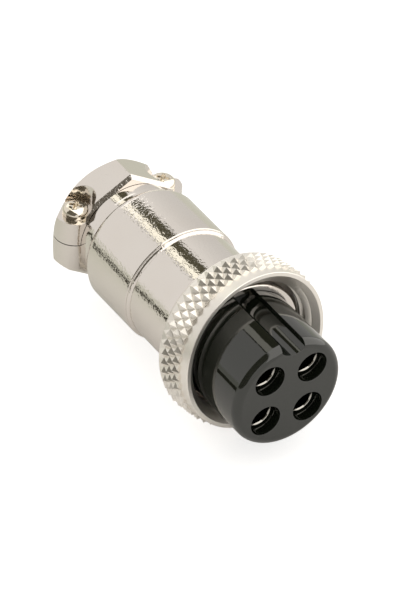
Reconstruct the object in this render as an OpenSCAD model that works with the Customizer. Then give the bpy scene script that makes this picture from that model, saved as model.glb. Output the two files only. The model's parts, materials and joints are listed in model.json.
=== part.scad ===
// Four-way circular plug with a screw-on coupling ring and a two-screw cable clamp.
// The plug's axis is X, its mating end points along +X and the clamp screws stand along Z.
// The origin is the centre of the insulator's front face. All sizes are in millimetres.

/* [Coupling thread] */
// Major diameter of the coupling thread
thread_d = 16; // [15.5:0.1:18]
// Pitch of the coupling thread
thread_pitch = 1; // [0.75:0.25:1]
// Depth of the threaded stretch behind the ring's front face
thread_depth = 2.6; // [2:0.1:2.7]

/* [Insulator] */
// Gap between the nose and the coupling thread's major diameter, on the radius
nose_gap = 1.4; // [1.35:0.05:1.8]
// Length of the nose in front of the shell's rim
nose_l = 9.4; // [8:0.1:12]
// Rounding of the nose's front edge
nose_round = 0.9; // [0.3:0.1:1.4]
// Step on the radius from the nose down to the tail
tail_step = 0.8; // [0.7:0.05:1.1]
// Length of the insulator's tail
tail_l = 6; // [4:0.1:7]
// Width of the keyway
key_w = 2.8; // [1.5:0.1:3.4]
// Depth of the keyway at its middle
key_depth = 1.4; // [0.9:0.1:1.6]
// Radius of the keyway's hollow floor
key_floor_r = 2; // [1.8:0.1:4]
// Diameter of each contact hole
contact_hole_d = 3.6; // [3:0.1:3.9]
// Wall between the contact holes and the tail's surface
hole_wall = 0.3; // [0.2:0.05:0.6]

/* [Contacts] */
// Gap around the contact's split sleeve in its hole
sleeve_gap = 0.2; // [0.1:0.05:0.3]
// Wall of the split sleeve
sleeve_wall = 0.25; // [0.15:0.05:0.5]
// Depth of the sleeve's mouth behind the insulator's face
sleeve_setback = 1.4; // [0.6:0.1:2.5]
// Length of the split sleeve
sleeve_l = 8.6; // [5:0.1:10]
// Width of the slot in the sleeve
slot_w = 0.4; // [0.2:0.05:0.8]
// Diameter of the solder cup
cup_d = 2.6; // [2:0.1:3]
// Wall of the solder cup
cup_wall = 0.35; // [0.2:0.05:0.6]
// Length of the solder cup
cup_l = 3.6; // [2:0.1:5]

/* [Front shell] */
// Wall of the spigot that screws into the rear shell
spigot_wall = 0.45; // [0.35:0.05:0.7]
// Length of the spigot
spigot_l = 4.5; // [3:0.1:5]
// Height of the barrel above the spigot
barrel_step = 0.45; // [0.35:0.05:0.7]
// Length of the barrel from the rim to the seam between the shells
barrel_l = 9.9; // [9:0.1:14]
// Height of the shoulder above the barrel at the seam
shoulder_h = 0.25; // [0.15:0.05:0.4]
// Width of the shoulder
shoulder_l = 0.7; // [0.4:0.1:1]
// Catch of the rim in front of the coupling ring's flange, on the radius
rim_catch = 0.34; // [0.2:0.02:0.5]
// Thickness of the rim
rim_t = 1.3; // [1.1:0.1:1.5]
// Depth of the seat for the nose inside the rim
seat_depth = 1; // [0.6:0.1:1]

/* [Snap ring] */
// Thickness of the snap ring along the axis
snap_t = 0.6; // [0.4:0.05:0.8]
// Radial height of the snap ring
snap_h = 0.8; // [0.5:0.05:0.9]
// Depth of the snap ring's groove
groove_h = 0.3; // [0.2:0.05:0.35]
// Opening in the snap ring
snap_gap = 3; // [1.5:0.1:5]

/* [Coupling ring] */
// Length of the ring
ring_l = 6.15; // [5.9:0.05:6.6]
// Depth of the lead-in at the front face, beyond the thread's major diameter
mouth_h = 0.6; // [0.3:0.05:0.9]
// Width of the ring's front face
face_w = 0.4; // [0.2:0.05:0.8]
// Bevel from the front face to the smooth band
face_bevel = 0.05; // [0.05:0.05:0.3]
// Width of the smooth band in front of the knurl
band_l = 1.3; // [0.8:0.1:1.6]
// Number of knurl grooves around the ring, each way
knurl_count = 52; // [36:1:64]
// Angle of the knurl grooves from the ring's axis
knurl_angle = 31; // [28:1:40]
// Depth of the knurl
knurl_h = 0.42; // [0.2:0.02:0.5]
// Depth of the knurl's grooves below the smooth band
groove_drop = 0.02; // [0.02:0.01:0.1]
// Height of the cone behind the knurl
cone_h = 1.25; // [0.8:0.05:1.4]
// Thickness of the ring's rear flange
flange_t = 1; // [0.7:0.1:1.1]
// Play between the flange and the shell's barrel, on the radius
flange_play = 0.26; // [0.24:0.02:0.3]
// Distance from the rim's back to the flange at the plug's axis
ring_slack = 1.3; // [1.25:0.05:1.6]
// Angle that the loose ring leans on the barrel
ring_lean = 8; // [0:0.5:8]
// Direction of the lean around the plug, from +Z towards +Y
lean_towards = 33; // [0:1:359]

/* [Rear shell] */
// Height of the rear shell above the shoulder at the seam
shell_step = 0.1; // [0.05:0.05:0.4]
// Length of the rear shell
shell_l = 8.3; // [7.5:0.1:12]
// Wall of the rear shell around its wiring space
shell_wall = 0.8; // [0.6:0.05:1]
// Rounding of the rear shell's front edge
shell_round = 0.25; // [0.1:0.05:0.4]
// Height of the rolled bevel at the rear shell's end
roll_h = 0.35; // [0.1:0.05:0.5]
// Width of the rolled bevel
roll_l = 0.8; // [0.3:0.1:1.2]
// Thickness of the lip that keeps the clamp's flange in the rear shell
lip_t = 0.7; // [0.5:0.1:1]
// Height of the lip inside the rear shell
lip_h = 0.4; // [0.3:0.05:0.6]

/* [Clamp] */
// Diameter of the neck between the rear shell and the clamp
neck_d = 11.9; // [11:0.1:12.4]
// Length of the neck
neck_l = 1.45; // [1:0.05:4]
// Height of the collar above the neck
collar_h = 0.35; // [0.2:0.05:0.9]
// Thickness of the collar
collar_t = 0.75; // [0.4:0.05:1]
// Gap between the rear shell and the collar
collar_gap = 0.25; // [0.1:0.05:0.3]
// Thickness of the flange that turns inside the rear shell
swivel_t = 0.8; // [0.6:0.1:1.2]
// Length of the clamp along the axis
clamp_l = 4.35; // [3.8:0.05:4.4]
// Diameter of the boss around each clamp screw
boss_d = 4.4; // [4.4:0.1:5]
// Width across the clamp's flats
clamp_flats = 12.6; // [12.2:0.1:13]
// Bevel at the front ends of the clamp's flats
clamp_bevel = 0.45; // [0.2:0.05:0.6]
// Diameter of the cable opening
cable_d = 8; // [6:0.1:8.2]
// Gap between the clamp's halves
split_gap = 0.1; // [0.05:0.05:0.8]

/* [Clamp screws] */
// Distance between the screws' axes
screw_span = 11.1; // [10.8:0.1:11.4]
// Diameter of the screw's thread
screw_d = 1.6; // [1.2:0.1:1.7]
// Diameter of the screw's head
head_d = 2.8; // [2.4:0.1:3]
// Height of the screw's head
head_h = 1.1; // [0.8:0.1:1.4]
// Width of the arms of the cross recess
recess_w = 0.45; // [0.3:0.05:0.6]
// Length over the arms of the cross recess
recess_l = 1.7; // [1.2:0.1:2]
// Depth of the cross recess
recess_h = 0.6; // [0.3:0.05:0.8]
// Height of the ledge under the screw's head above the axis
ledge_z = 2.8; // [2:0.1:3]
// Gap between the screw's head and its pocket
pocket_gap = 0.7; // [0.3:0.05:0.8]
// Depth of the screw below the axis
screw_reach = 3; // [2:0.1:3.4]

/* [Hidden] */
$fn = 96;
// Number of contacts, one node each
contact_count = 4;
// Radial clearance of a part that slips over or turns on another
slip = 0.05;
// Radial clearance at a screw thread, which is drawn plain
thread_gap = 0.05;
// Radial clearance around a screw's shank in the saddle
shank_gap = 0.1;
// Depth of the tapped hole beyond the screw's end
tap_extra = 0.2;
// Height of an ISO thread's ridge as a share of its pitch
thread_share = 0.5413;
// Angle of the clamp's flats from its split
flat_angle = 30;
// Bevel at the edges of the front shell's rim
rim_bevel = 0.15;
// Clearance of the relief behind the coupling thread, on the radius
relief_h = 0.2;
// Depth at which the knurl's sleeve is sunk in the turned ring
sleeve_sink = 0.03;
// Length of the land that stops the clamp's flange
land_l = 0.6;
// Share of the contact's sleeve that is left whole behind its slot
whole_share = 1 / 3;
// Share of the solder cup's length and width that its window opens
window_l_share = 1 / 2;
window_h_share = 3 / 8;
// Point at the end of the screw's thread
screw_point = 0.2;
// Outline of the screw's head, as shares of its height and radius
head_side_share = 0.6;
head_brow = [0.94, 0.82];
head_crown = [0.8, 0.95];
// Length that a cutting shape runs on past the surface it cuts
over = 1;
nickel = "#d8d0c8";
tin = "#e6e0d4";
moulded_black = "#1c1d1c";

// Diameters that follow from their neighbours, from the thread inwards and out again
thread_crest_d = thread_d - 2 * thread_share * thread_pitch;
nose_d = thread_d - 2 * nose_gap;
tail_d = nose_d - 2 * tail_step;
contact_circle_d = tail_d - 2 * hole_wall - contact_hole_d;
sleeve_d = contact_hole_d - 2 * sleeve_gap;
sleeve_bore_d = sleeve_d - 2 * sleeve_wall;
shank_d = contact_hole_d - 2 * slip;
cup_bore_d = cup_d - 2 * cup_wall;
bore_d = tail_d + 2 * slip;
spigot_d = bore_d + 2 * spigot_wall;
barrel_d = spigot_d + 2 * barrel_step;
shoulder_d = barrel_d + 2 * shoulder_h;
flange_bore_d = barrel_d + 2 * flange_play;
rim_d = flange_bore_d + 2 * rim_catch;
ring_mouth_d = thread_d + 2 * mouth_h;
ring_face_d = ring_mouth_d + 2 * face_w;
band_d = ring_face_d + 2 * face_bevel;
groove_r = band_d / 2 - groove_drop;
ring_back_d = 2 * (groove_r - cone_h);
shell_d = shoulder_d + 2 * shell_step;
wire_space_d = shell_d - 2 * shell_wall;
lip_d = wire_space_d - 2 * lip_h;
collar_d = neck_d + 2 * collar_h;
pocket_d = head_d + 2 * pocket_gap;
bevel_w = clamp_bevel * sqrt(2);
tap_d = screw_d + 2 * thread_gap;

// Places along the plug's axis
rim_x = -nose_l;
seat_x = rim_x - seat_depth;
tail_x = seat_x - tail_l;
cup_x = tail_x - cup_l;
barrel_x = rim_x - rim_t;
flange_mid_x = barrel_x - ring_slack - flange_t / 2;
seam_x = barrel_x - barrel_l;
spigot_x = seam_x - spigot_l;
sleeve_x = -sleeve_setback;
shank_x = sleeve_x - sleeve_l;
shell_x = seam_x - shell_l;
lip_x = shell_x + lip_t;
swivel_x = lip_x + slip + swivel_t;
land_x = swivel_x + slip;
collar_x = shell_x - collar_gap;
neck_x = collar_x - collar_t - neck_l;
clamp_x = neck_x - clamp_l;
screw_x = neck_x - clamp_l / 2;

// A round solid about the X axis. Each point is [radius, x].
module turned(points) {
    rotate([0, 90, 0]) rotate_extrude() polygon(points);
}

// A cylinder along +X from x, which runs on for length l.
module rod(d, x, l) {
    translate([x, 0, 0]) rotate([0, 90, 0]) cylinder(d = d, h = l);
}

// Points of a quarter circle, from one angle to another, about a centre [radius, x].
function arc(centre, r, from, to, steps = 12) =
    [for (i = [0 : steps]) let (a = from + (to - from) * i / steps)
        centre + r * [cos(a), sin(a)]];

function contact_angle(i) = 45 + (i - 1) * 360 / contact_count;

module at_contact(i) {
    rotate([contact_angle(i), 0, 0]) translate([0, 0, contact_circle_d / 2]) children();
}

// Keyway: flat sides and a hollow floor, open to the front and at the top.
module keyway() {
    floor_z = nose_d / 2 - key_depth;
    intersection() {
        translate([seat_x, -key_w / 2, floor_z]) cube([-seat_x + over, key_w, nose_d]);
        union() {
            rod_z = floor_z + key_floor_r;
            translate([0, 0, rod_z]) rod(2 * key_floor_r, seat_x, -seat_x + over);
            translate([seat_x, -key_w, rod_z]) cube([-seat_x + over, 2 * key_w, nose_d]);
        }
    }
}

module insulator() {
    color(moulded_black) difference() {
        turned(concat(
            [[0, 0]],
            arc([nose_d / 2 - nose_round, -nose_round], nose_round, 90, 0),
            [[nose_d / 2, seat_x], [tail_d / 2, seat_x], [tail_d / 2, tail_x], [0, tail_x]]));
        keyway();
        for (i = [1 : contact_count]) at_contact(i) rod(contact_hole_d, tail_x - over, -tail_x + 2 * over);
    }
}

// Split sleeve, solid shank and solder cup in one turned piece.
module contact(i) {
    wall = (sleeve_d - sleeve_bore_d) / 2;
    lip = wall / 2;
    color(tin) at_contact(i) difference() {
        turned([[sleeve_bore_d / 2, shank_x],
                [sleeve_bore_d / 2, sleeve_x - lip], [sleeve_bore_d / 2 + lip, sleeve_x],
                [sleeve_d / 2, sleeve_x], [sleeve_d / 2, shank_x], [shank_d / 2, shank_x],
                [shank_d / 2, tail_x], [cup_d / 2, tail_x], [cup_d / 2, cup_x],
                [cup_bore_d / 2, cup_x], [cup_bore_d / 2, tail_x - slot_w],
                [0, tail_x - slot_w], [0, shank_x]]);
        rotate([-contact_angle(i), 0, 0])
            translate([shank_x + sleeve_l * whole_share, -sleeve_d, -slot_w / 2])
                cube([sleeve_l, sleeve_d, slot_w]);
        rotate([180 - contact_angle(i), 0, 0])
            translate([cup_x - over, -cup_d, cup_d * (1 / 2 - window_h_share)])
                cube([cup_l * window_l_share + over, 2 * cup_d, cup_d]);
    }
}

// Barrel with the rim at its front, the shoulder at the seam and the threaded spigot.
module front_shell() {
    groove_x = tail_x - snap_t;
    color(nickel) turned(concat(
        [[nose_d / 2 + slip, rim_x], [rim_d / 2 - rim_bevel, rim_x],
         [rim_d / 2, rim_x - rim_bevel], [rim_d / 2, barrel_x], [barrel_d / 2, barrel_x],
         [barrel_d / 2, seam_x + shoulder_l + shoulder_h]],
        arc([barrel_d / 2, seam_x + shoulder_l], shoulder_h, 90, 0, 6),
        [[shoulder_d / 2, seam_x + slip], [shoulder_d / 2 - slip, seam_x],
         [spigot_d / 2, seam_x], [spigot_d / 2, spigot_x], [bore_d / 2, spigot_x],
         [bore_d / 2, groove_x], [bore_d / 2 + groove_h, groove_x],
         [bore_d / 2 + groove_h, tail_x], [bore_d / 2, tail_x],
         [bore_d / 2, seat_x], [nose_d / 2 + slip, seat_x]]));
}

// Sprung C-ring in the shell's groove, which keeps the insulator in its seat.
module snap_ring() {
    outer_d = bore_d + 2 * groove_h - 2 * slip;
    color(tin) difference() {
        rod(outer_d, tail_x - snap_t, snap_t);
        rod(outer_d - 2 * snap_h, tail_x - 2 * snap_t, 3 * snap_t);
        translate([tail_x - 2 * snap_t, -snap_gap / 2, -outer_d])
            cube([3 * snap_t, snap_gap, outer_d]);
    }
}

// The ring's own frame: x = 0 is the middle of its rear flange.
module leaning() {
    translate([flange_mid_x, 0, 0])
        rotate([-lean_towards, 0, 0]) rotate([0, -ring_lean, 0]) rotate([lean_towards, 0, 0])
            children();
}

// Sleeve of four-sided points between two sets of crossing grooves. Its front end is at x = front,
// and its last row runs out at last_x. Grid lines j run around it and lines m along it: a vertex is
// on a groove where j + m is even, and is a point's tip elsewhere.
module knurl_sleeve(front, rows, step, last_x) {
    lines = 2 * knurl_count;
    low = groove_r;
    core = low - knurl_h;
    function row_x(j) = j == rows ? last_x : front - j * step;
    function row_r(j, m) = (j + m) % 2 == 0 || j == rows ? low : low + knurl_h;
    function at(x, r, m) = [x, r * sin(m * 360 / lines), r * cos(m * 360 / lines)];
    function id(j, m) = j * lines + m % lines;
    skin = [for (j = [0 : rows]) for (m = [0 : lines - 1]) at(row_x(j), row_r(j, m), m)];
    inner = [for (j = [0, rows]) for (m = [0 : lines - 1]) at(row_x(j), core, m)];
    inner_front = rows + 1;
    inner_back = rows + 2;
    outside = [for (j = [0 : rows - 1]) for (m = [0 : lines - 1])
        let (a = id(j, m), b = id(j, m + 1), c = id(j + 1, m + 1), d = id(j + 1, m))
        each (j + m) % 2 == 0 ? [[c, b, a], [d, c, a]] : [[d, b, a], [d, c, b]]];
    ends = [for (m = [0 : lines - 1]) each [
        [id(0, m), id(0, m + 1), id(inner_front, m + 1), id(inner_front, m)],
        [id(inner_back, m), id(inner_back, m + 1), id(rows, m + 1), id(rows, m)],
        [id(inner_front, m), id(inner_front, m + 1), id(inner_back, m + 1), id(inner_back, m)]]];
    polyhedron(concat(skin, inner), concat(outside, ends));
}

module coupling_ring() {
    flange_x = flange_t / 2;
    back = -flange_t / 2;
    front = back + ring_l;
    thread_x = front - thread_depth;
    knurl_x = front - band_l;
    relief_r = thread_d / 2 + relief_h;
    mouth_l = (ring_mouth_d - thread_crest_d) / 2;
    step = PI * groove_r / knurl_count / tan(knurl_angle);
    // The rear cone stands at 45 degrees, and the knurl ends where it meets the grooves.
    cone_x = back + cone_h;
    rows = max(2, round((knurl_x - cone_x) / step));
    color(nickel) leaning() union() {
        turned([[ring_mouth_d / 2, front], [ring_face_d / 2, front],
                [band_d / 2, front - face_bevel], [band_d / 2, knurl_x],
                [groove_r - sleeve_sink, knurl_x], [groove_r - sleeve_sink, cone_x - sleeve_sink],
                [ring_back_d / 2, back], [flange_bore_d / 2, back],
                [flange_bore_d / 2, flange_x], [relief_r, flange_x],
                [relief_r, thread_x - relief_r + thread_crest_d / 2],
                [thread_crest_d / 2, thread_x], [thread_crest_d / 2, front - mouth_l]]);
        knurl_sleeve(knurl_x, rows, (knurl_x - cone_x) / rows, cone_x);
    }
}

// Barrel of the rear shell: threaded in front, with a lip rolled in at the back around the clamp's
// flange and a land that stops the flange from going further in.
module rear_shell() {
    thread_r = spigot_d / 2 + thread_gap;
    color(nickel) turned(concat(
        [[thread_r, seam_x]],
        arc([shell_d / 2 - shell_round, seam_x - shell_round], shell_round, 90, 0, 6),
        [[shell_d / 2, shell_x + roll_l], [shell_d / 2 - roll_h, shell_x],
         [lip_d / 2, shell_x], [lip_d / 2, lip_x],
         [wire_space_d / 2, lip_x], [wire_space_d / 2, land_x],
         [lip_d / 2, land_x], [lip_d / 2, land_x + land_l],
         [wire_space_d / 2, land_x + land_l], [wire_space_d / 2, spigot_x - slip],
         [thread_r, spigot_x - slip]]));
}

// Bar with a ridge at the top and bottom, four flats, a round boss on each side and a turned
// chamfer at its rear end, that both halves of the clamp are cut from.
module clamp_blank() {
    reach = screw_span + boss_d;
    difference() {
        intersection() {
            flats_slab(flat_angle);
            flats_slab(-flat_angle);
            turned([[0, clamp_x], [clamp_flats / 2, clamp_x],
                    [clamp_flats / 2 + reach, clamp_x + reach], [0, clamp_x + reach]]);
            union() {
                translate([clamp_x, -screw_span / 2, -reach]) cube([clamp_l, screw_span, 2 * reach]);
                intersection() {
                    translate([clamp_x, -reach, -reach]) cube([clamp_l, 2 * reach, 2 * reach]);
                    for (side = [-1, 1]) at_screw(side)
                        cylinder(d = boss_d, h = 2 * reach, center = true);
                }
            }
        }
        for (half = [0, 180], flat = [-flat_angle, flat_angle]) rotate([half + flat, 0, 0])
            translate([neck_x, 0, clamp_flats / 2]) rotate([0, 45, 0])
                cube([bevel_w, 4 * reach, bevel_w], center = true);
    }
}

// Slab as thick as the width across the flats, turned about the axis.
module flats_slab(angle) {
    reach = screw_span + boss_d;
    rotate([angle, 0, 0]) translate([clamp_x - over, -reach, -clamp_flats / 2])
        cube([clamp_l + 2 * over, 2 * reach, clamp_flats]);
}

module at_screw(side) {
    translate([screw_x, side * screw_span / 2, 0]) children();
}

// Fixed half of the clamp, with the neck and the flange that turns inside the rear shell.
module clamp_base() {
    turn_d = lip_d - 2 * slip;
    swivel_d = wire_space_d - 2 * slip;
    color(nickel) difference() {
        union() {
            turned([[0, swivel_x], [swivel_d / 2, swivel_x], [swivel_d / 2, lip_x + slip],
                    [turn_d / 2, lip_x + slip], [turn_d / 2, collar_x],
                    [collar_d / 2, collar_x], [collar_d / 2, collar_x - collar_t],
                    [neck_d / 2, collar_x - collar_t], [neck_d / 2, neck_x], [0, neck_x]]);
            intersection() {
                clamp_blank();
                translate([clamp_x - over, -screw_span, -screw_span - split_gap / 2])
                    cube([clamp_l + over, 2 * screw_span, screw_span]);
            }
        }
        rod(cable_d, clamp_x - over, swivel_x - clamp_x + 2 * over);
        for (side = [-1, 1]) at_screw(side) translate([0, 0, -screw_reach - tap_extra])
            cylinder(d = tap_d, h = screw_reach + tap_extra + over);
    }
}

// Lifting half of the clamp, with an open pocket for each screw's head.
module clamp_saddle() {
    color(nickel) difference() {
        intersection() {
            clamp_blank();
            translate([clamp_x - over, -screw_span, split_gap / 2])
                cube([clamp_l + over - slip, 2 * screw_span, screw_span]);
        }
        rod(cable_d, clamp_x - over, clamp_l + 2 * over);
        for (side = [-1, 1]) at_screw(side) {
            cylinder(d = screw_d + 2 * shank_gap, h = screw_span);
            translate([0, 0, ledge_z]) cylinder(d = pocket_d, h = screw_span);
            translate([-clamp_l, side > 0 ? 0 : -boss_d, ledge_z])
                cube([2 * clamp_l, boss_d, screw_span]);
        }
    }
}

// Pan-head screw with a cross recess.
module clamp_screw(side) {
    top = ledge_z + head_h;
    head_r = head_d / 2;
    thread_r = screw_d / 2;
    color(tin) at_screw(side) difference() {
        rotate_extrude() polygon([
            [0, -screw_reach], [thread_r - screw_point, -screw_reach],
            [thread_r, -screw_reach + screw_point], [thread_r, ledge_z], [head_r, ledge_z],
            [head_r, ledge_z + head_h * head_side_share],
            [head_r * head_brow[0], ledge_z + head_h * head_brow[1]],
            [head_r * head_crown[0], ledge_z + head_h * head_crown[1]],
            [head_r * head_crown[0] / 2, top], [0, top]]);
        for (turn = [45, 135]) rotate([0, 0, turn])
            translate([-recess_l / 2, -recess_w / 2, top - recess_h])
                cube([recess_l, recess_w, recess_h + over]);
    }
}

module contact_1() { contact(1); }
module contact_2() { contact(2); }
module contact_3() { contact(3); }
module contact_4() { contact(4); }
module clamp_screw_left() { clamp_screw(-1); }
module clamp_screw_right() { clamp_screw(1); }

insulator();
contact_1();
contact_2();
contact_3();
contact_4();
front_shell();
snap_ring();
coupling_ring();
rear_shell();
clamp_base();
clamp_saddle();
clamp_screw_left();
clamp_screw_right();
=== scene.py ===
"""Four-way circular cable plug: its finishes, its turned and cast pieces, and a plain studio."""
import json
import logging
import math
from dataclasses import dataclass, field
from enum import Enum
from typing import Any, Callable, Optional, Sequence, Union

import bpy
from mathutils import Matrix, Vector


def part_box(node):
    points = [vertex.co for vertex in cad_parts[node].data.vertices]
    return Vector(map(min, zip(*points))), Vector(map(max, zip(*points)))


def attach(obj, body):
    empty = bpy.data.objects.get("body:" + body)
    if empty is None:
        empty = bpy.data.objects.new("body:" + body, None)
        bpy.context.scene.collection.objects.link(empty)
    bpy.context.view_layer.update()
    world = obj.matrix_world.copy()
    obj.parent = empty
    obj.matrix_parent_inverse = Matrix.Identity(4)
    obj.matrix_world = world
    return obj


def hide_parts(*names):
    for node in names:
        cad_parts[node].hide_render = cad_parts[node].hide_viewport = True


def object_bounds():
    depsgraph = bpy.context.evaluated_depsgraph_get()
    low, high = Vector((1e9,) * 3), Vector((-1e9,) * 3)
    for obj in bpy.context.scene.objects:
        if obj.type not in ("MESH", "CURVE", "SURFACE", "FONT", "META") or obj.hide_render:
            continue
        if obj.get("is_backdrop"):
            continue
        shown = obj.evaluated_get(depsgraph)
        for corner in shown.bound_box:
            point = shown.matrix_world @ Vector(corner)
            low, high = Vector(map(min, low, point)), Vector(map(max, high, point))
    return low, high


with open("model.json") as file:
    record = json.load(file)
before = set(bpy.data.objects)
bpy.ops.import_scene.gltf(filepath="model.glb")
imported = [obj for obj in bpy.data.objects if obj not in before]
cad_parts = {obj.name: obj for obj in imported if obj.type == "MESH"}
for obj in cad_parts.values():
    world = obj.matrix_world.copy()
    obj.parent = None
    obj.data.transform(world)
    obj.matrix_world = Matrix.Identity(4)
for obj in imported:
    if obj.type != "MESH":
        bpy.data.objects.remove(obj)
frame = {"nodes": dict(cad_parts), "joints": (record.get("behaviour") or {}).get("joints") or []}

LOG = logging.getLogger("plug")
MM = 0.001

# Places this close, in millimetres, count as the same.
NEAR = 0.01
# Points this close, in metres, are merged on a flat, in a thread and at a cut.
FLAT_WELD, THREAD_WELD, CUT_WELD = 2e-7, 1e-7, 1e-8
# Half widths of a thread's V at its two edges, as shares of the pitch.
V_WIDE, V_NARROW = 0.42, 0.07

Colour = tuple[float, float, float]
Point = tuple[float, float, float]
Stop = tuple[float, float]


# --- Shader graphs -----------------------------------------------------------------------------

class Value:
    """A node's output socket that can be used in a written sum."""

    def __init__(self, graph: "Graph", socket: bpy.types.NodeSocket) -> None:
        """Keeps the graph that holds the socket.

        Args:
            graph: the graph the socket belongs to.
            socket: the output socket.
        """
        self.graph = graph
        self.socket = socket

    def _math(self, operation: str, *values: Any) -> "Value":
        """Returns the output of a Math node fed with the values."""
        return self.graph.node("ShaderNodeMath", {"operation": operation}, dict(enumerate(values)))

    def __add__(self, other: Any) -> "Value":
        """Returns self + other."""
        return self._math("ADD", self, other)

    __radd__ = __add__

    def __sub__(self, other: Any) -> "Value":
        """Returns self - other."""
        return self._math("SUBTRACT", self, other)

    def __rsub__(self, other: Any) -> "Value":
        """Returns other - self."""
        return self._math("SUBTRACT", other, self)

    def __mul__(self, other: Any) -> "Value":
        """Returns self * other."""
        return self._math("MULTIPLY", self, other)

    __rmul__ = __mul__

    def clamped(self) -> "Value":
        """Returns the value held between 0 and 1."""
        return self._math("MAXIMUM", 0.0, self._math("MINIMUM", 1.0, self))


class Graph:
    """The node tree of one material or world."""

    def __init__(self, tree: bpy.types.NodeTree) -> None:
        """Empties the tree.

        Args:
            tree: the node tree to build in.
        """
        self.tree = tree
        tree.nodes.clear()

    def node(self, kind: str, settings: Optional[dict[str, Any]] = None,
             inputs: Optional[dict[Any, Any]] = None, output: Union[int, str] = 0) -> Value:
        """Adds a node, sets it and links it.

        Args:
            kind: the node's type name.
            settings: the node's own settings.
            inputs: values or links by socket name or number.
            output: the socket that is returned.

        Returns:
            The chosen output.
        """
        node = self.tree.nodes.new(kind)
        for name, value in (settings or {}).items():
            setattr(node, name, value)
        for name, value in (inputs or {}).items():
            socket = node.inputs[name]
            if isinstance(value, Value):
                self.tree.links.new(value.socket, socket)
            else:
                socket.default_value = value
        return Value(self, node.outputs[output]) if node.outputs else None

    def mix(self, amount: Any, a: Any, b: Any) -> Value:
        """Returns colour a turned into colour b by amount."""
        return self.node("ShaderNodeMix", {"data_type": "RGBA"}, {0: amount, 6: a, 7: b}, output=2)

    def noise(self, scale: float, detail: float = 2.0, roughness: float = 0.5) -> Value:
        """Returns a noise fixed to the piece.

        Args:
            scale: spots per millimetre.
            detail: octaves of finer noise.
            roughness: strength of the finer noise.

        Returns:
            The noise's strength.
        """
        place = self.node("ShaderNodeTexCoord", output="Object")
        return self.node("ShaderNodeTexNoise", {}, {"Vector": place, "Scale": scale / MM,
                         "Detail": detail, "Roughness": roughness})


def rgba(colour: Colour) -> tuple[float, float, float, float]:
    """Returns the colour with full alpha."""
    return (*colour, 1.0)


@dataclass(frozen=True)
class Metal:
    """A plated metal with a fine grain in its shine."""

    name: str
    slot: str
    colour: Colour
    tint: Colour
    roughness: float = 0.07
    roughness_spread: float = 0.04
    grain: float = 3.4
    bump: float = 0.017

    def material(self) -> bpy.types.Material:
        """Returns the finish's material, made the first time it is asked for."""
        if self.name in bpy.data.materials:
            return bpy.data.materials[self.name]
        material = bpy.data.materials.new(self.name)
        material.use_nodes = True
        graph = Graph(material.node_tree)
        cloud = graph.noise(0.25, 3.0)
        fine = graph.noise(self.grain, 0.6) + graph.noise(self.grain * 2.3, 0.3) * 0.45
        colour = graph.mix(cloud, rgba(self.colour), rgba(self.tint))
        rough = self.roughness + (fine - 0.5) * self.roughness_spread
        normal = graph.node("ShaderNodeBump", {}, {"Strength": 1.0, "Distance": self.bump * MM,
                            "Height": fine})
        shader = graph.node("ShaderNodeBsdfPrincipled", {}, {
            "Base Color": colour, "Metallic": 1.0, "Roughness": rough, "Normal": normal})
        graph.node("ShaderNodeOutputMaterial", {}, {"Surface": shader})
        return material


@dataclass(frozen=True)
class Moulding:
    """A glossy moulded plastic with faint flow marks."""

    name: str
    slot: str
    colour: Colour
    roughness: float = 0.025
    index: float = 1.72

    def material(self) -> bpy.types.Material:
        """Returns the finish's material, made the first time it is asked for."""
        if self.name in bpy.data.materials:
            return bpy.data.materials[self.name]
        material = bpy.data.materials.new(self.name)
        material.use_nodes = True
        graph = Graph(material.node_tree)
        cloud = graph.noise(0.4, 4.0)
        fine = graph.noise(6.0, 3.0, 0.6)
        paler = tuple(c * 1.6 for c in self.colour)
        colour = graph.mix(cloud, rgba(self.colour), rgba(paler))
        rough = self.roughness + (cloud - 0.5) * 0.02
        normal = graph.node("ShaderNodeBump", {}, {"Strength": 1.0, "Distance": 0.002 * MM,
                            "Height": fine + graph.noise(0.9, 1.0) * 4.0})
        shader = graph.node("ShaderNodeBsdfPrincipled", {}, {
            "Base Color": colour, "Roughness": rough, "IOR": self.index,
            "Normal": normal})
        graph.node("ShaderNodeOutputMaterial", {}, {"Surface": shader})
        return material


NICKEL = Metal("satin_nickel", "nickel", (0.80, 0.76, 0.72), (0.76, 0.71, 0.66))
CLAMP_NICKEL = Metal("clamp_nickel", "nickel", (0.80, 0.76, 0.72), (0.76, 0.71, 0.66), bump=0.01)
RING_NICKEL = Metal("knurled_nickel", "ring_nickel", (0.90, 0.87, 0.82), (0.86, 0.82, 0.76),
                    roughness=0.34, bump=0.004)
# The contacts' plate is darker than their own silver: painted shade for their depth in the holes.
CONTACT_PAINTED_SHADE = Metal("contact_plate_painted_shade", "contact_metal", (0.50, 0.49, 0.46), (0.42, 0.40, 0.36),
                bump=0.002)
SCREW = Metal("screw_plate", "screw_metal", (0.84, 0.80, 0.72), (0.80, 0.72, 0.60), bump=0.005)
SPRING = Metal("spring_wire", "spring_steel", (0.6, 0.6, 0.6), (0.5, 0.5, 0.5))
BLACK = Moulding("gloss_moulding", "moulded_black", (0.006, 0.0075, 0.005))
Finish = Union[Metal, Moulding]


# --- Bench work --------------------------------------------------------------------------------

class Along(Enum):
    """The axis that a turned piece or a thread stands on."""

    PLUG = "X"
    SCREW = "Z"

    def turn(self) -> Point:
        """Returns the turn that stands a piece made along Z on this axis."""
        return (0.0, math.pi / 2, 0.0) if self is Along.PLUG else (0.0, 0.0, 0.0)

    def place(self, way: float, out: float = 0.0) -> Vector:
        """Returns a point, in metres, from millimetres along the axis and out from it.

        Args:
            way: distance along the axis.
            out: distance from the axis.
        """
        return Vector((way, 0, out) if self is Along.PLUG else (out, 0, way)) * MM

    def scale(self, amount: float) -> Point:
        """Returns the scale that changes only a ring's radius."""
        return (1.0, amount, amount) if self is Along.PLUG else (amount, amount, 1.0)


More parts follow.
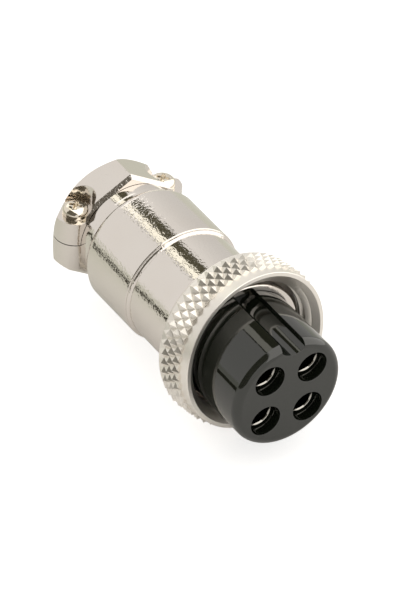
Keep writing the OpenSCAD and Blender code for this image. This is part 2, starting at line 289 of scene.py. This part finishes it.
def to_object_mode() -> None:
    """Leaves edit mode and deselects everything."""
    if bpy.context.object and bpy.context.object.mode != "OBJECT":
        bpy.ops.object.mode_set(mode="OBJECT")
    bpy.ops.object.select_all(action="DESELECT")


def take_up(piece: bpy.types.Object) -> None:
    """Makes the piece the only selected and active one."""
    to_object_mode()
    piece.select_set(True)
    bpy.context.view_layer.objects.active = piece


def open_mesh(piece: bpy.types.Object, mode: str = "EDGE") -> None:
    """Goes into edit mode on the piece with nothing selected.

    Args:
        piece: the piece to work on.
        mode: VERT, EDGE or FACE.
    """
    take_up(piece)
    bpy.ops.object.mode_set(mode="EDIT")
    bpy.ops.mesh.select_mode(type=mode)
    bpy.ops.mesh.select_all(action="DESELECT")


def close_mesh(outward: bool = True) -> None:
    """Leaves edit mode, with the faces pointing outwards if asked."""
    if outward:
        bpy.ops.mesh.select_all(action="SELECT")
        bpy.ops.mesh.normals_make_consistent(inside=False)
    bpy.ops.object.mode_set(mode="OBJECT")


def pick_points(piece: bpy.types.Object, wanted: Callable[[Vector], bool]) -> None:
    """Selects the points of the piece that pass the test, in edit mode.

    Args:
        piece: the piece being edited.
        wanted: a test of a point's place in millimetres.
    """
    bpy.ops.object.mode_set(mode="OBJECT")
    for face in piece.data.polygons:
        face.select = False
    for edge in piece.data.edges:
        edge.select = False
    for point in piece.data.vertices:
        point.select = wanted(point.co / MM)
    bpy.ops.object.mode_set(mode="EDIT")


def settle(piece: bpy.types.Object, name: str) -> bpy.types.Object:
    """Puts the piece's place into its mesh and names it."""
    take_up(piece)
    bpy.ops.object.transform_apply(location=True, rotation=True, scale=True)
    piece.name = piece.data.name = name
    return piece


def shift(piece: bpy.types.Object, move: Point) -> bpy.types.Object:
    """Moves the piece's mesh by millimetres."""
    piece.location = Vector(move) * MM
    return settle(piece, piece.name)


def lathe(name: str, stops: Sequence[Stop], along: Along = Along.PLUG, steps: int = 128,
          ring: bool = True) -> bpy.types.Object:
    """Turns a piece: a circle is extruded from stop to stop and scaled to each one's radius.

    Args:
        name: the piece's name.
        stops: (place along the axis, radius) of each corner, in millimetres.
        along: the axis.
        steps: points around.
        ring: whether the last stop joins the first. If not, both ends are capped.

    Returns:
        The new piece.
    """
    to_object_mode()
    way, radius = stops[0]
    bpy.ops.mesh.primitive_circle_add(vertices=steps, radius=radius * MM, fill_type="NOTHING",
                                      location=along.place(way), rotation=along.turn())
    piece = settle(bpy.context.object, name)
    open_mesh(piece)
    bpy.ops.mesh.select_all(action="SELECT")
    for next_way, next_radius in stops[1:]:
        bpy.ops.mesh.extrude_region()
        bpy.ops.transform.translate(value=along.place(next_way - way))
        bpy.ops.transform.resize(value=along.scale(next_radius / radius),
                                 center_override=along.place(next_way))
        way, radius = next_way, next_radius
    bpy.ops.mesh.select_all(action="DESELECT")
    bpy.ops.mesh.select_non_manifold()
    if ring:
        bpy.ops.mesh.bridge_edge_loops()
    else:
        bpy.ops.mesh.edge_face_add()
    close_mesh()
    return piece


def rounded(centre: Stop, radius: float, start: float, end: float, steps: int = 6) -> list[Stop]:
    """Returns the stops of a rounding.

    Args:
        centre: (place along the axis, radius) of its centre.
        radius: its own radius.
        start: first angle in degrees, from straight out towards the front.
        end: last angle.
        steps: how many stops it has, less one.
    """
    turns = (math.radians(start + (end - start) * i / steps) for i in range(steps + 1))
    return [(centre[0] + radius * math.sin(t), centre[1] + radius * math.cos(t)) for t in turns]


def thread_tool(name: str, crest: float, root: float, pitch: float, start: float, end: float,
                along: Along = Along.PLUG, steps: int = 90) -> bpy.types.Object:
    """Makes the helical V that cuts a thread, as a tap or a die would.

    Args:
        name: the tool's name.
        crest: radius at which the V is widest.
        root: radius of its narrow edge.
        pitch: advance in a turn.
        start: lowest place along the axis.
        end: highest place along the axis.
        along: the axis.
        steps: points in a turn.
    """
    wide, narrow = pitch * V_WIDE, pitch * V_NARROW
    to_object_mode()
    bpy.ops.mesh.primitive_plane_add(size=1.0)
    tool = settle(bpy.context.object, name)
    corners = [(start - wide, crest), (start + wide, crest), (start + narrow, root),
               (start - narrow, root)]
    for corner, index in zip(corners, (0, 1, 3, 2)):
        tool.data.vertices[index].co = along.place(*corner)
    take_up(tool)
    screw = tool.modifiers.new("helix", "SCREW")
    screw.axis = along.value
    screw.steps = screw.render_steps = steps
    screw.screw_offset = pitch * MM
    screw.iterations = max(1, round((end - start) / pitch))
    screw.use_merge_vertices = False
    bpy.ops.object.modifier_apply(modifier=screw.name)
    open_mesh(tool)
    bpy.ops.mesh.select_all(action="SELECT")
    bpy.ops.mesh.remove_doubles(threshold=THREAD_WELD)
    bpy.ops.mesh.delete_loose()
    bpy.ops.mesh.select_all(action="DESELECT")
    bpy.ops.mesh.select_non_manifold()
    bpy.ops.mesh.edge_face_add()
    close_mesh()
    return tool


def combine(piece: bpy.types.Object, tool: bpy.types.Object, how: str = "DIFFERENCE") -> None:
    """Cuts the piece with the tool, or joins or crosses them, and clears the tool away.

    Args:
        piece: the piece that stays.
        tool: the other solid.
        how: the Boolean modifier's operation.
    """
    take_up(piece)
    change = piece.modifiers.new("cut", "BOOLEAN")
    change.operation, change.object, change.solver = how, tool, "EXACT"
    bpy.ops.object.modifier_apply(modifier=change.name)
    bpy.data.objects.remove(tool)


def ease_edges(piece: bpy.types.Object, width: float, segments: int = 2,
               angle: float = 30.0) -> None:
    """Bevels the sharp edges of the piece.

    Args:
        piece: the piece.
        width: bevel width in millimetres.
        segments: facets across the bevel.
        angle: smallest corner, in degrees, that is bevelled.
    """
    take_up(piece)
    bevel = piece.modifiers.new("eased", "BEVEL")
    bevel.width, bevel.segments = width * MM, segments
    bevel.limit_method, bevel.angle_limit = "ANGLE", math.radians(angle)
    bevel.use_clamp_overlap = True
    bevel.miter_outer = "MITER_ARC"
    bpy.ops.object.modifier_apply(modifier=bevel.name)


def tidy_flats(piece: bpy.types.Object, angle: float = 0.5) -> None:
    """Merges doubled points and dissolves the edges that cross flat faces."""
    open_mesh(piece)
    bpy.ops.mesh.select_all(action="SELECT")
    bpy.ops.mesh.remove_doubles(threshold=FLAT_WELD)
    bpy.ops.mesh.dissolve_limited(angle_limit=math.radians(angle))
    close_mesh(outward=False)


def copy_of_node(node: str, name: str) -> bpy.types.Object:
    """Returns a copy of a frame node with its own mesh, merged and with clean flats."""
    source = frame["nodes"][node]
    copy = source.copy()
    copy.data = source.data.copy()
    bpy.context.scene.collection.objects.link(copy)
    copy.name = copy.data.name = name
    tidy_flats(copy)
    return copy


def smooth(piece: bpy.types.Object, angle: float = 32.0) -> None:
    """Shades the piece smooth across edges flatter than the angle, and keeps wide faces flat."""
    take_up(piece)
    bpy.ops.object.shade_smooth_by_angle(angle=math.radians(angle))
    weighting = piece.modifiers.new("wide_faces", "WEIGHTED_NORMAL")
    weighting.keep_sharp = True
    bpy.ops.object.modifier_apply(modifier=weighting.name)


def end_of(node: str, front: bool) -> float:
    """Returns the place of a frame node's front or back end along the plug, in millimetres."""
    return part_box(node)[int(front)].x / MM


def fit(piece: bpy.types.Object, node: str, body: str, finish: Finish) -> bpy.types.Object:
    """Gives a finished piece its material and its body, and hides the frame node that it stands
    for.

    Args:
        piece: the finished piece.
        node: the frame node it replaces.
        body: the body it rides on.
        finish: its finish.
    """
    piece.data.materials.clear()
    piece.data.materials.append(finish.material())
    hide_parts(node)
    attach(piece, body)
    LOG.info("%s rides on %s: %d faces", piece.name, body, len(piece.data.polygons))
    return piece


# --- Studio ------------------------------------------------------------------------------------

@dataclass(frozen=True)
class Card:
    """A card that the metal mirrors, curved around the plug's axis.

    Its angles are in degrees from straight up towards +Y, and its ends in card radii along the
    axis. A strength over zero makes it glow.
    """

    name: str
    start: float
    end: float
    colour: Colour
    strength: float = 0.0
    back: float = -1.12
    front: float = -0.2
    radius: float = 400.0

    def build(self) -> None:
        """Makes the card and its material."""
        to_object_mode()
        bpy.ops.mesh.primitive_plane_add(size=1.0)
        card = settle(bpy.context.object, self.name)
        open_mesh(card)
        bpy.ops.mesh.select_all(action="SELECT")
        bpy.ops.mesh.subdivide(number_cuts=7)
        bpy.ops.object.mode_set(mode="OBJECT")
        for point in card.data.vertices:
            angle = math.radians(self.start + (point.co.y + 0.5) * (self.end - self.start))
            way = self.back + (point.co.x + 0.5) * (self.front - self.back)
            point.co = Vector((way, math.sin(angle), math.cos(angle))) * self.radius * MM
        material = bpy.data.materials.new(self.name)
        material.use_nodes = True
        graph = Graph(material.node_tree)
        if self.strength:
            face = graph.node("ShaderNodeEmission", {}, {"Color": rgba(self.colour),
                              "Strength": self.strength})
        else:
            face = graph.node("ShaderNodeBsdfDiffuse", {}, {"Color": rgba(self.colour)})
        graph.node("ShaderNodeOutputMaterial", {}, {"Surface": face})
        card.data.materials.append(material)
        card.visible_camera = False
        card.visible_diffuse = card.visible_shadow = False
        card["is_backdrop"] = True


CARDS = (
    Card("flag_above", -1.5, 16.8, (0.13, 0.12, 0.085)),
    Card("cream_above", -13.5, -1.5, (1.0, 0.97, 0.84), 1.3),
    Card("flag_edge", -15.5, -13.5, (0.03, 0.028, 0.02)),
    Card("flag_low", -100.0, -94.0, (0.06, 0.055, 0.04), back=-2.1, front=-0.5, radius=37.3),
    Card("opening", -90.5, -17.0, (0.17, 0.16, 0.14), back=-0.46, front=1.4),
    Card("bright_back", -16.0, 30.0, (1.0, 0.98, 0.94), 1.4, back=-2.2, front=-1.13),
    Card("bright_side", -15.0, 98.0, (1.0, 0.97, 0.92), 1.7, back=-0.45, front=5.0),
)


@dataclass
class Studio:
    """The pale floor, the sky, the cards and the camera."""

    camera_place: Point = (276.2077, -216.8214, 281.7349)
    camera_right: Point = (0.54144, 0.83685, 0.08080)
    camera_up: Point = (-0.54920, 0.27928, 0.78764)
    lens_over_sensor: float = 7.24521
    sky: Colour = (0.93, 0.905, 0.87)
    sky_aside: Colour = (0.76, 0.74, 0.71)
    sky_strength: float = 0.94
    paper_front: Colour = (0.98, 0.97, 0.95)
    paper_behind: Colour = (0.78, 0.80, 0.72)
    white: Colour = (1.0, 1.0, 1.0)
    floor_grey: Colour = (0.8, 0.8, 0.8)
    floor_glow: float = 0.62
    floor_size: float = 4.0
    floor_gap: float = 0.0001
    aside_from: float = 0.35
    aside_rate: float = 2.5
    behind_from: float = -0.02
    behind_rate: float = 30.0
    sensor: float = 36.0

    def camera(self) -> None:
        """Sets the camera at its fixed place, looking at the plug."""
        data = bpy.data.cameras.new("camera")
        data.sensor_width = self.sensor
        data.lens = self.sensor * self.lens_over_sensor
        data.clip_start = 0.01
        data.clip_end = 10.0
        item = bpy.data.objects.new("camera", data)
        bpy.context.scene.collection.objects.link(item)
        right, up = Vector(self.camera_right), Vector(self.camera_up)
        back = right.cross(up)
        turn = Matrix((right, up, back)).transposed().to_4x4()
        item.matrix_world = Matrix.Translation(Vector(self.camera_place) * MM) @ turn
        bpy.context.scene.camera = item

    def world(self) -> None:
        """Lights the plug with a pale sky, greyer to one side, and shows the camera white."""
        world = bpy.data.worlds.new("sky")
        world.use_nodes = True
        graph = Graph(world.node_tree)
        seen = graph.node("ShaderNodeLightPath", output="Is Camera Ray")
        way = graph.node("ShaderNodeTexCoord", output="Generated")
        across = graph.node("ShaderNodeSeparateXYZ", {}, {"Vector": way}, output="Y")
        aside = ((across - self.aside_from) * self.aside_rate).clamped()
        colour = graph.mix(aside, rgba(self.sky), rgba(self.sky_aside))
        soft = graph.node("ShaderNodeBackground", {}, {"Color": colour,
                          "Strength": self.sky_strength})
        white = graph.node("ShaderNodeBackground", {}, {"Color": rgba(self.white),
                           "Strength": 1.0})
        sky = graph.node("ShaderNodeMixShader", {}, {0: seen, 1: soft, 2: white})
        graph.node("ShaderNodeOutputWorld", {}, {"Surface": sky})
        bpy.context.scene.world = world

    def floor(self) -> None:
        """Lays the pale floor: plain white in front, and darker paper behind for the metal."""
        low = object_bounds()[0]
        to_object_mode()
        bpy.ops.mesh.primitive_plane_add(size=self.floor_size,
                                         location=(0, 0, low.z - self.floor_gap))
        floor = settle(bpy.context.object, "floor")
        material = bpy.data.materials.new("pale_floor")
        material.use_nodes = True
        graph = Graph(material.node_tree)
        seen = graph.node("ShaderNodeLightPath", output="Is Camera Ray")
        place = graph.node("ShaderNodeTexCoord", output="Object")
        along = graph.node("ShaderNodeSeparateXYZ", {}, {"Vector": place}, output="X")
        behind = ((self.behind_from - along) * self.behind_rate).clamped()
        paper = graph.mix(behind, rgba(self.paper_front), rgba(self.paper_behind))
        matt = graph.node("ShaderNodeBsdfDiffuse", {}, {"Color": paper})
        plain = graph.node("ShaderNodeBsdfDiffuse", {}, {"Color": rgba(self.floor_grey)})
        glow = graph.node("ShaderNodeEmission", {}, {"Color": rgba(self.white),
                          "Strength": self.floor_glow})
        lit = graph.node("ShaderNodeAddShader", {}, {0: plain, 1: glow})
        both = graph.node("ShaderNodeMixShader", {}, {0: seen, 1: matt, 2: lit})
        graph.node("ShaderNodeOutputMaterial", {}, {"Surface": both})
        floor.data.materials.append(material)
        floor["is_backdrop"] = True

    def build(self) -> None:
        """Makes the whole studio."""
        bpy.context.scene.view_settings.view_transform = "Standard"
        self.camera()
        self.world()
        self.floor()
        for card in CARDS:
            card.build()


# --- Plug --------------------------------------------------------------------------------------

@dataclass
class CouplingRing:
    """The knurled ring that screws onto the receptacle. Sizes are in millimetres."""

    thread_r: float = 8.0
    crest_r: float = 7.46
    pitch: float = 1.0
    mouth_r: float = 8.6
    face_r: float = 9.0
    band_r: float = 9.05
    tip_h: float = 0.42
    groove_r: float = 9.03
    relief_r: float = 8.2
    flange_r: float = 7.01
    back_r: float = 7.78
    back: float = -0.5
    flange: float = 0.5
    front: float = 5.65
    face_bevel: float = 0.05
    knurl_front: float = 4.35
    cone: float = 0.75
    thread_depth: float = 2.6
    grooves: int = 52
    rows: int = 4
    stops_before_rows: int = 5
    tap_run: float = 3.4
    tap_over: float = 0.6

    def body(self) -> bpy.types.Object:
        """Returns the turned ring with its plain outside."""
        thread_end = self.front - self.thread_depth
        mouth_end = self.front - (self.mouth_r - self.crest_r)
        step = (self.knurl_front - self.cone) / self.rows
        rows = [(self.knurl_front - step * i, self.groove_r) for i in range(self.rows + 1)]
        stops = [(mouth_end, self.crest_r), (self.front, self.mouth_r), (self.front, self.face_r),
                 (self.front - self.face_bevel, self.band_r), (self.knurl_front, self.band_r),
                 *rows,
                 (self.back, self.back_r), (self.back, self.flange_r),
                 (self.flange, self.flange_r), (self.flange, self.relief_r),
                 (thread_end - self.relief_r + self.crest_r, self.relief_r),
                 (thread_end, self.crest_r)]
        return lathe("coupling_ring", stops, steps=2 * self.grooves)

    def raise_tips(self, ring: bpy.types.Object) -> None:
        """Raises every other point of the knurl's rows and folds the squares into pyramids."""
        around = 2 * self.grooves
        open_mesh(ring, "VERT")
        first = self.stops_before_rows * around
        for row in range(self.rows):
            bpy.ops.object.mode_set(mode="OBJECT")
            for point in ring.data.vertices:
                own_row, place = divmod(point.index - first, around)
                point.select = own_row == row and (place + row) % 2 == 1
            bpy.ops.object.mode_set(mode="EDIT")
            grown = (self.groove_r + self.tip_h) / self.groove_r
            bpy.ops.transform.resize(value=Along.PLUG.scale(grown), center_override=(0, 0, 0))
        pick_points(ring, lambda p: self.cone - NEAR < p.x < self.knurl_front + NEAR
                    and math.hypot(p.y, p.z) > self.face_r)
        bpy.ops.mesh.select_mode(type="FACE")
        bpy.ops.mesh.quads_convert_to_tris(quad_method="SHORTEST_DIAGONAL",
                                           ngon_method="BEAUTY")
        close_mesh()

    def build(self) -> None:
        """Makes the ring, taps it, and sets it in its lean on the barrel."""
        ring = self.body()
        self.raise_tips(ring)
        combine(ring, thread_tool("tap", self.crest_r - 0.05, self.thread_r, self.pitch,
                                  self.front - self.tap_run, self.front + self.tap_over))
        ease_edges(ring, 0.03, 1, 24.0)
        joint = next(j for j in frame["joints"] if j["name"] == "ring_spin")
        axis = Vector(joint["axis"])
        turn = Vector((1, 0, 0)).rotation_difference(axis).to_matrix().to_4x4()
        ring.matrix_world = Matrix.Translation(Vector(joint["pos_m"])) @ turn
        settle(ring, "knurled_ring")
        smooth(ring, 18.0)
        fit(ring, "coupling_ring", "ring", RING_NICKEL)


@dataclass
class Shells:
    """The barrel that holds the insulator and the shell that screws onto it."""

    nose_r: float = 6.65
    rim_r: float = 7.35
    rim_bevel: float = 0.15
    rim: float = field(default_factory=lambda: end_of("front_shell", True))
    seat: float = -10.4
    barrel_front: float = -10.7
    barrel_r: float = 6.75
    shoulder_r: float = 7.0
    shoulder_l: float = 0.15
    seam: float = field(default_factory=lambda: end_of("rear_shell", True))
    spigot_r: float = 6.3
    spigot_end: float = field(default_factory=lambda: end_of("front_shell", False))
    bore_r: float = 5.85
    groove: Stop = (-17.0, -16.4)
    groove_r: float = 6.15
    shell_r: float = 7.1
    shell_end: float = field(default_factory=lambda: end_of("rear_shell", False))
    shell_round: float = 0.15
    roll: Stop = (0.8, 0.35)
    lip_r: float = 5.9
    lip: float = -28.2
    space_r: float = 6.3
    land: Stop = (-27.3, -26.7)
    thread_pitch: float = 0.75
    crown_stops: tuple[float, ...] = (0.8, 0.6, 0.4, 0.2, 0.08)
    crown_power: int = 4

    def front(self) -> None:
        """Makes the front shell with its threaded spigot."""
        step = self.shoulder_r - self.barrel_r
        crown = [(self.seam + (self.shoulder_l + step) * t,
                  self.barrel_r + step * (1 - t ** self.crown_power)) for t in self.crown_stops]
        stops = [(self.rim, self.nose_r), (self.rim, self.rim_r - self.rim_bevel),
                 (self.rim - self.rim_bevel, self.rim_r),
                 (self.barrel_front, self.rim_r), (self.barrel_front, self.barrel_r),
                 (self.seam + self.shoulder_l + step, self.barrel_r), *crown,
                 (self.seam, self.shoulder_r - 0.05),
                 (self.seam, self.spigot_r), (self.spigot_end, self.spigot_r),
                 (self.spigot_end, self.bore_r), (self.groove[0], self.bore_r),
                 (self.groove[0], self.groove_r), (self.groove[1], self.groove_r),
                 (self.groove[1], self.bore_r), (self.seat, self.bore_r),
                 (self.seat, self.nose_r)]
        shell = lathe("front_shell_body", stops)
        combine(shell, thread_tool("die", self.spigot_r + 0.05, self.spigot_r - 0.28,
                                   self.thread_pitch, self.spigot_end - 0.6, self.seam - 0.7))
        ease_edges(shell, 0.04, 2)
        smooth(shell)
        fit(shell, "front_shell", "front", NICKEL)

    def rear(self) -> None:
        """Makes the rear shell with its thread, its land and its rolled end."""
        thread_r = self.spigot_r + 0.05
        front_round = rounded((self.seam - self.shell_round, self.shell_r - self.shell_round),
                              self.shell_round, 90, 0)
        stops = [(self.seam, thread_r), *front_round,
                 (self.shell_end + self.roll[0], self.shell_r),
                 (self.shell_end, self.shell_r - self.roll[1]), (self.shell_end, self.lip_r),
                 (self.lip, self.lip_r), (self.lip, self.space_r), (self.land[0], self.space_r),
                 (self.land[0], self.lip_r), (self.land[1], self.lip_r),
                 (self.land[1], self.space_r), (self.spigot_end - 0.05, self.space_r),
                 (self.spigot_end - 0.05, thread_r)]
        shell = lathe("rear_shell_body", stops)
        combine(shell, thread_tool("tap", thread_r - 0.05, thread_r + 0.25, self.thread_pitch,
                                   self.spigot_end + 0.5, self.seam + 0.6))
        ease_edges(shell, 0.05, 2)
        smooth(shell)
        fit(shell, "rear_shell", "shell", NICKEL)

    def build(self) -> None:
        """Makes both shells."""
        self.front()
        self.rear()


@dataclass
class Insert:
    """The black insulator with its keyway, and the four split contacts."""

    nose_r: float = 6.6
    nose_round: float = 0.9
    tail_r: float = 5.8
    seat: float = -10.4
    tail: float = field(default_factory=lambda: end_of("insulator", False))
    key_w: float = 2.8
    key_floor: float = 5.2
    key_floor_r: float = 2.0
    hole_r: float = 1.8
    circle_r: float = 3.7
    count: int = 4
    mouth_wall: float = 0.12
    mouth_bevel: float = 0.09

    def hole_angles(self) -> list[float]:
        """Returns the turn of each hole from the top, in radians."""
        return [math.radians(45 + i * 360 / self.count) for i in range(self.count)]

    def keyway_tool(self) -> bpy.types.Object:
        """Returns the cutter of the keyway: a rod for its hollow floor, cut to its width."""
        to_object_mode()
        depth = -self.seat + 1
        bpy.ops.mesh.primitive_cylinder_add(
            vertices=96, radius=self.key_floor_r * MM, depth=depth * MM,
            location=Vector((self.seat + depth / 2, 0, self.key_floor + self.key_floor_r)) * MM,
            rotation=Along.PLUG.turn())
        tool = settle(bpy.context.object, "keyway_cutter")
        for side in (-1, 1):
            open_mesh(tool)
            bpy.ops.mesh.select_all(action="SELECT")
            bpy.ops.mesh.bisect(plane_co=(0, side * self.key_w / 2 * MM, 0),
                                plane_no=(0, side, 0), use_fill=True, clear_outer=True,
                                threshold=CUT_WELD)
            close_mesh()
        return tool

    def insulator(self) -> None:
        """Makes the insulator."""
        stops = [(0.0, 1.0), *rounded((-self.nose_round, self.nose_r - self.nose_round),
                                      self.nose_round, 90, 0, 10),
                 (self.seat, self.nose_r), (self.seat, self.tail_r), (self.tail, self.tail_r),
                 (self.tail, 1.0)]
        body = lathe("insulator_body", stops, ring=False)
        combine(body, self.keyway_tool())
        for angle in self.hole_angles():
            to_object_mode()
            middle = Vector((self.tail / 2, -self.circle_r * math.sin(angle),
                             self.circle_r * math.cos(angle))) * MM
            bpy.ops.mesh.primitive_cylinder_add(vertices=64, radius=self.hole_r * MM,
                                                depth=(2 - self.tail) * MM, location=middle,
                                                rotation=Along.PLUG.turn())
            combine(body, settle(bpy.context.object, "drill"))
        tidy_flats(body)
        ease_edges(body, 0.09, 3)
        smooth(body)
        fit(body, "insulator", "front", BLACK)

    def contacts(self) -> None:
        """Eases the edges of the four contacts."""
        for number in range(1, self.count + 1):
            contact = copy_of_node(f"contact_{number}", f"split_contact_{number}")
            low, high = (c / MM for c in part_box(f"contact_{number}"))
            middle = (low + high) / 2
            inner = (high.y - low.y) / 2 - self.mouth_wall
            open_mesh(contact)
            pick_points(contact, lambda p: p.x > high.x - NEAR
                        and math.hypot(p.y - middle.y, p.z - middle.z) < inner)
            bpy.ops.mesh.bevel(offset=self.mouth_bevel * MM, segments=2)
            close_mesh()
            ease_edges(contact, 0.03, 2)
            smooth(contact)
            # the darkened plate paints the shade that lies deep in the holes
            fit(contact, f"contact_{number}", "front", CONTACT_PAINTED_SHADE)

    def build(self) -> None:
        """Makes the insulator and its contacts."""
        self.insulator()
        self.contacts()


@dataclass
class CableClamp:
    """The two cast halves of the cable clamp and their screws."""

    collar_front: float = field(default_factory=lambda: end_of("clamp_base", True))
    collar_round: float = 0.3
    ledge: float = 2.8
    ledge_r: float = 1.9
    ledge_round: float = 0.3
    seat_gap: float = 0.02
    screw_reach: float = 3.0
    screw_r: float = 0.8
    screw_pitch: float = 0.35
    head_r: float = 1.4
    head_h: float = 1.1
    recess_l: float = 1.7
    recess_w: float = 0.5
    recess_h: float = 0.8
    recess_taper: float = 0.7
    dome: tuple[Stop, ...] = ((0.36, 1.0), (0.52, 0.98), (0.66, 0.92), (0.78, 0.83), (0.88, 0.7),
                              (0.96, 0.5), (0.99, 0.3))

    def halves(self) -> None:
        """Rounds the edges of both halves, as casting and plating leave them."""
        for node, name, body in (("clamp_base", "clamp_lower_half", "clamp"),
                                 ("clamp_saddle", "clamp_upper_half", "saddle")):
            half = copy_of_node(node, name)
            self.round_edges(half, self.collar_round, lambda p: p.x > self.collar_front - NEAR)
            self.round_edges(half, self.ledge_round, self.on_ledge)
            ease_edges(half, 0.1, 3)
            smooth(half)
            fit(half, node, body, CLAMP_NICKEL)

    def on_ledge(self, point: Vector) -> bool:
        """Says whether a point lies on the outer edge of a screw's ledge."""
        low, high = (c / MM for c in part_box("clamp_screw_right"))
        out = math.hypot(point.x - (low.x + high.x) / 2, abs(point.y) - (low.y + high.y) / 2)
        return abs(point.z - self.ledge) < 2 * NEAR and out > self.ledge_r and abs(point.y) > low.y

    def round_edges(self, half: bpy.types.Object, width: float,
                    wanted: Callable[[Vector], bool]) -> None:
        """Rounds the edges whose ends both pass the test.

        Args:
            half: the half of the clamp.
            width: width of the rounding in millimetres.
            wanted: the test of a point's place in millimetres.
        """
        open_mesh(half)
        pick_points(half, wanted)
        bpy.ops.mesh.bevel(offset=width * MM, segments=5)
        close_mesh(outward=False)

    def screw(self) -> bpy.types.Object:
        """Returns one pan-head screw on the Z axis."""
        under = self.ledge + self.seat_gap
        top = self.ledge + self.head_h
        dome = [(self.ledge + self.head_h * h, self.head_r * r) for h, r in self.dome]
        stops = [(-self.screw_reach, self.screw_r - 0.2), (-self.screw_reach + 0.2, self.screw_r),
                 (under, self.screw_r), (under, self.head_r), *dome, (top, 0.1)]
        screw = lathe("clamp_screw", stops, Along.SCREW, 64, ring=False)
        combine(screw, thread_tool("die", self.screw_r + 0.02, self.screw_r - 0.19,
                                   self.screw_pitch, -self.screw_reach - 0.3, self.ledge - 0.5,
                                   Along.SCREW, 48))
        for turn in (45, 135):
            to_object_mode()
            bpy.ops.mesh.primitive_cube_add(size=1.0, location=(0, 0, top * MM))
            arm = bpy.context.object
            arm.scale = Vector((self.recess_l, self.recess_w, 2 * self.recess_h)) * MM
            arm.rotation_euler = (0, 0, math.radians(turn))
            settle(arm, "recess_arm")
            open_mesh(arm, "VERT")
            pick_points(arm, lambda p: p.z < top)
            bpy.ops.transform.resize(value=Along.SCREW.scale(self.recess_taper),
                                     center_override=(0, 0, top * MM))
            close_mesh()
            combine(screw, arm)
        ease_edges(screw, 0.03, 2, 34.0)
        smooth(screw, 40.0)
        return screw

    def screws(self) -> None:
        """Makes one screw and copies it to the other side."""
        first = self.screw()
        for side, name in ((-1, "left"), (1, "right")):
            screw = first
            if side > 0:
                screw = first.copy()
                screw.data = first.data.copy()
                bpy.context.scene.collection.objects.link(screw)
            screw.name = f"pan_head_screw_{name}"
            low, high = (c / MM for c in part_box(f"clamp_screw_{name}"))
            middle = (low + high) / 2
            shift(screw, (middle.x, middle.y, 0) if side < 0 else (0, 2 * middle.y, 0))
            fit(screw, f"clamp_screw_{name}", f"{name}_screw", SCREW)

    def build(self) -> None:
        """Makes the halves and the screws."""
        self.halves()
        self.screws()


def dress_snap_ring() -> None:
    """Gives the hidden snap ring its finish."""
    node = frame["nodes"]["snap_ring"]
    node.data.materials.clear()
    node.data.materials.append(SPRING.material())
    LOG.info("snap_ring keeps its node")


def main() -> None:
    """Builds each part of the plug in order, then the studio."""
    logging.basicConfig(level=logging.INFO)
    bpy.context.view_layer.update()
    for part in (CouplingRing(), Shells(), Insert(), CableClamp()):
        part.build()
    dress_snap_ring()
    Studio().build()


if __name__ == "__main__":
    main()
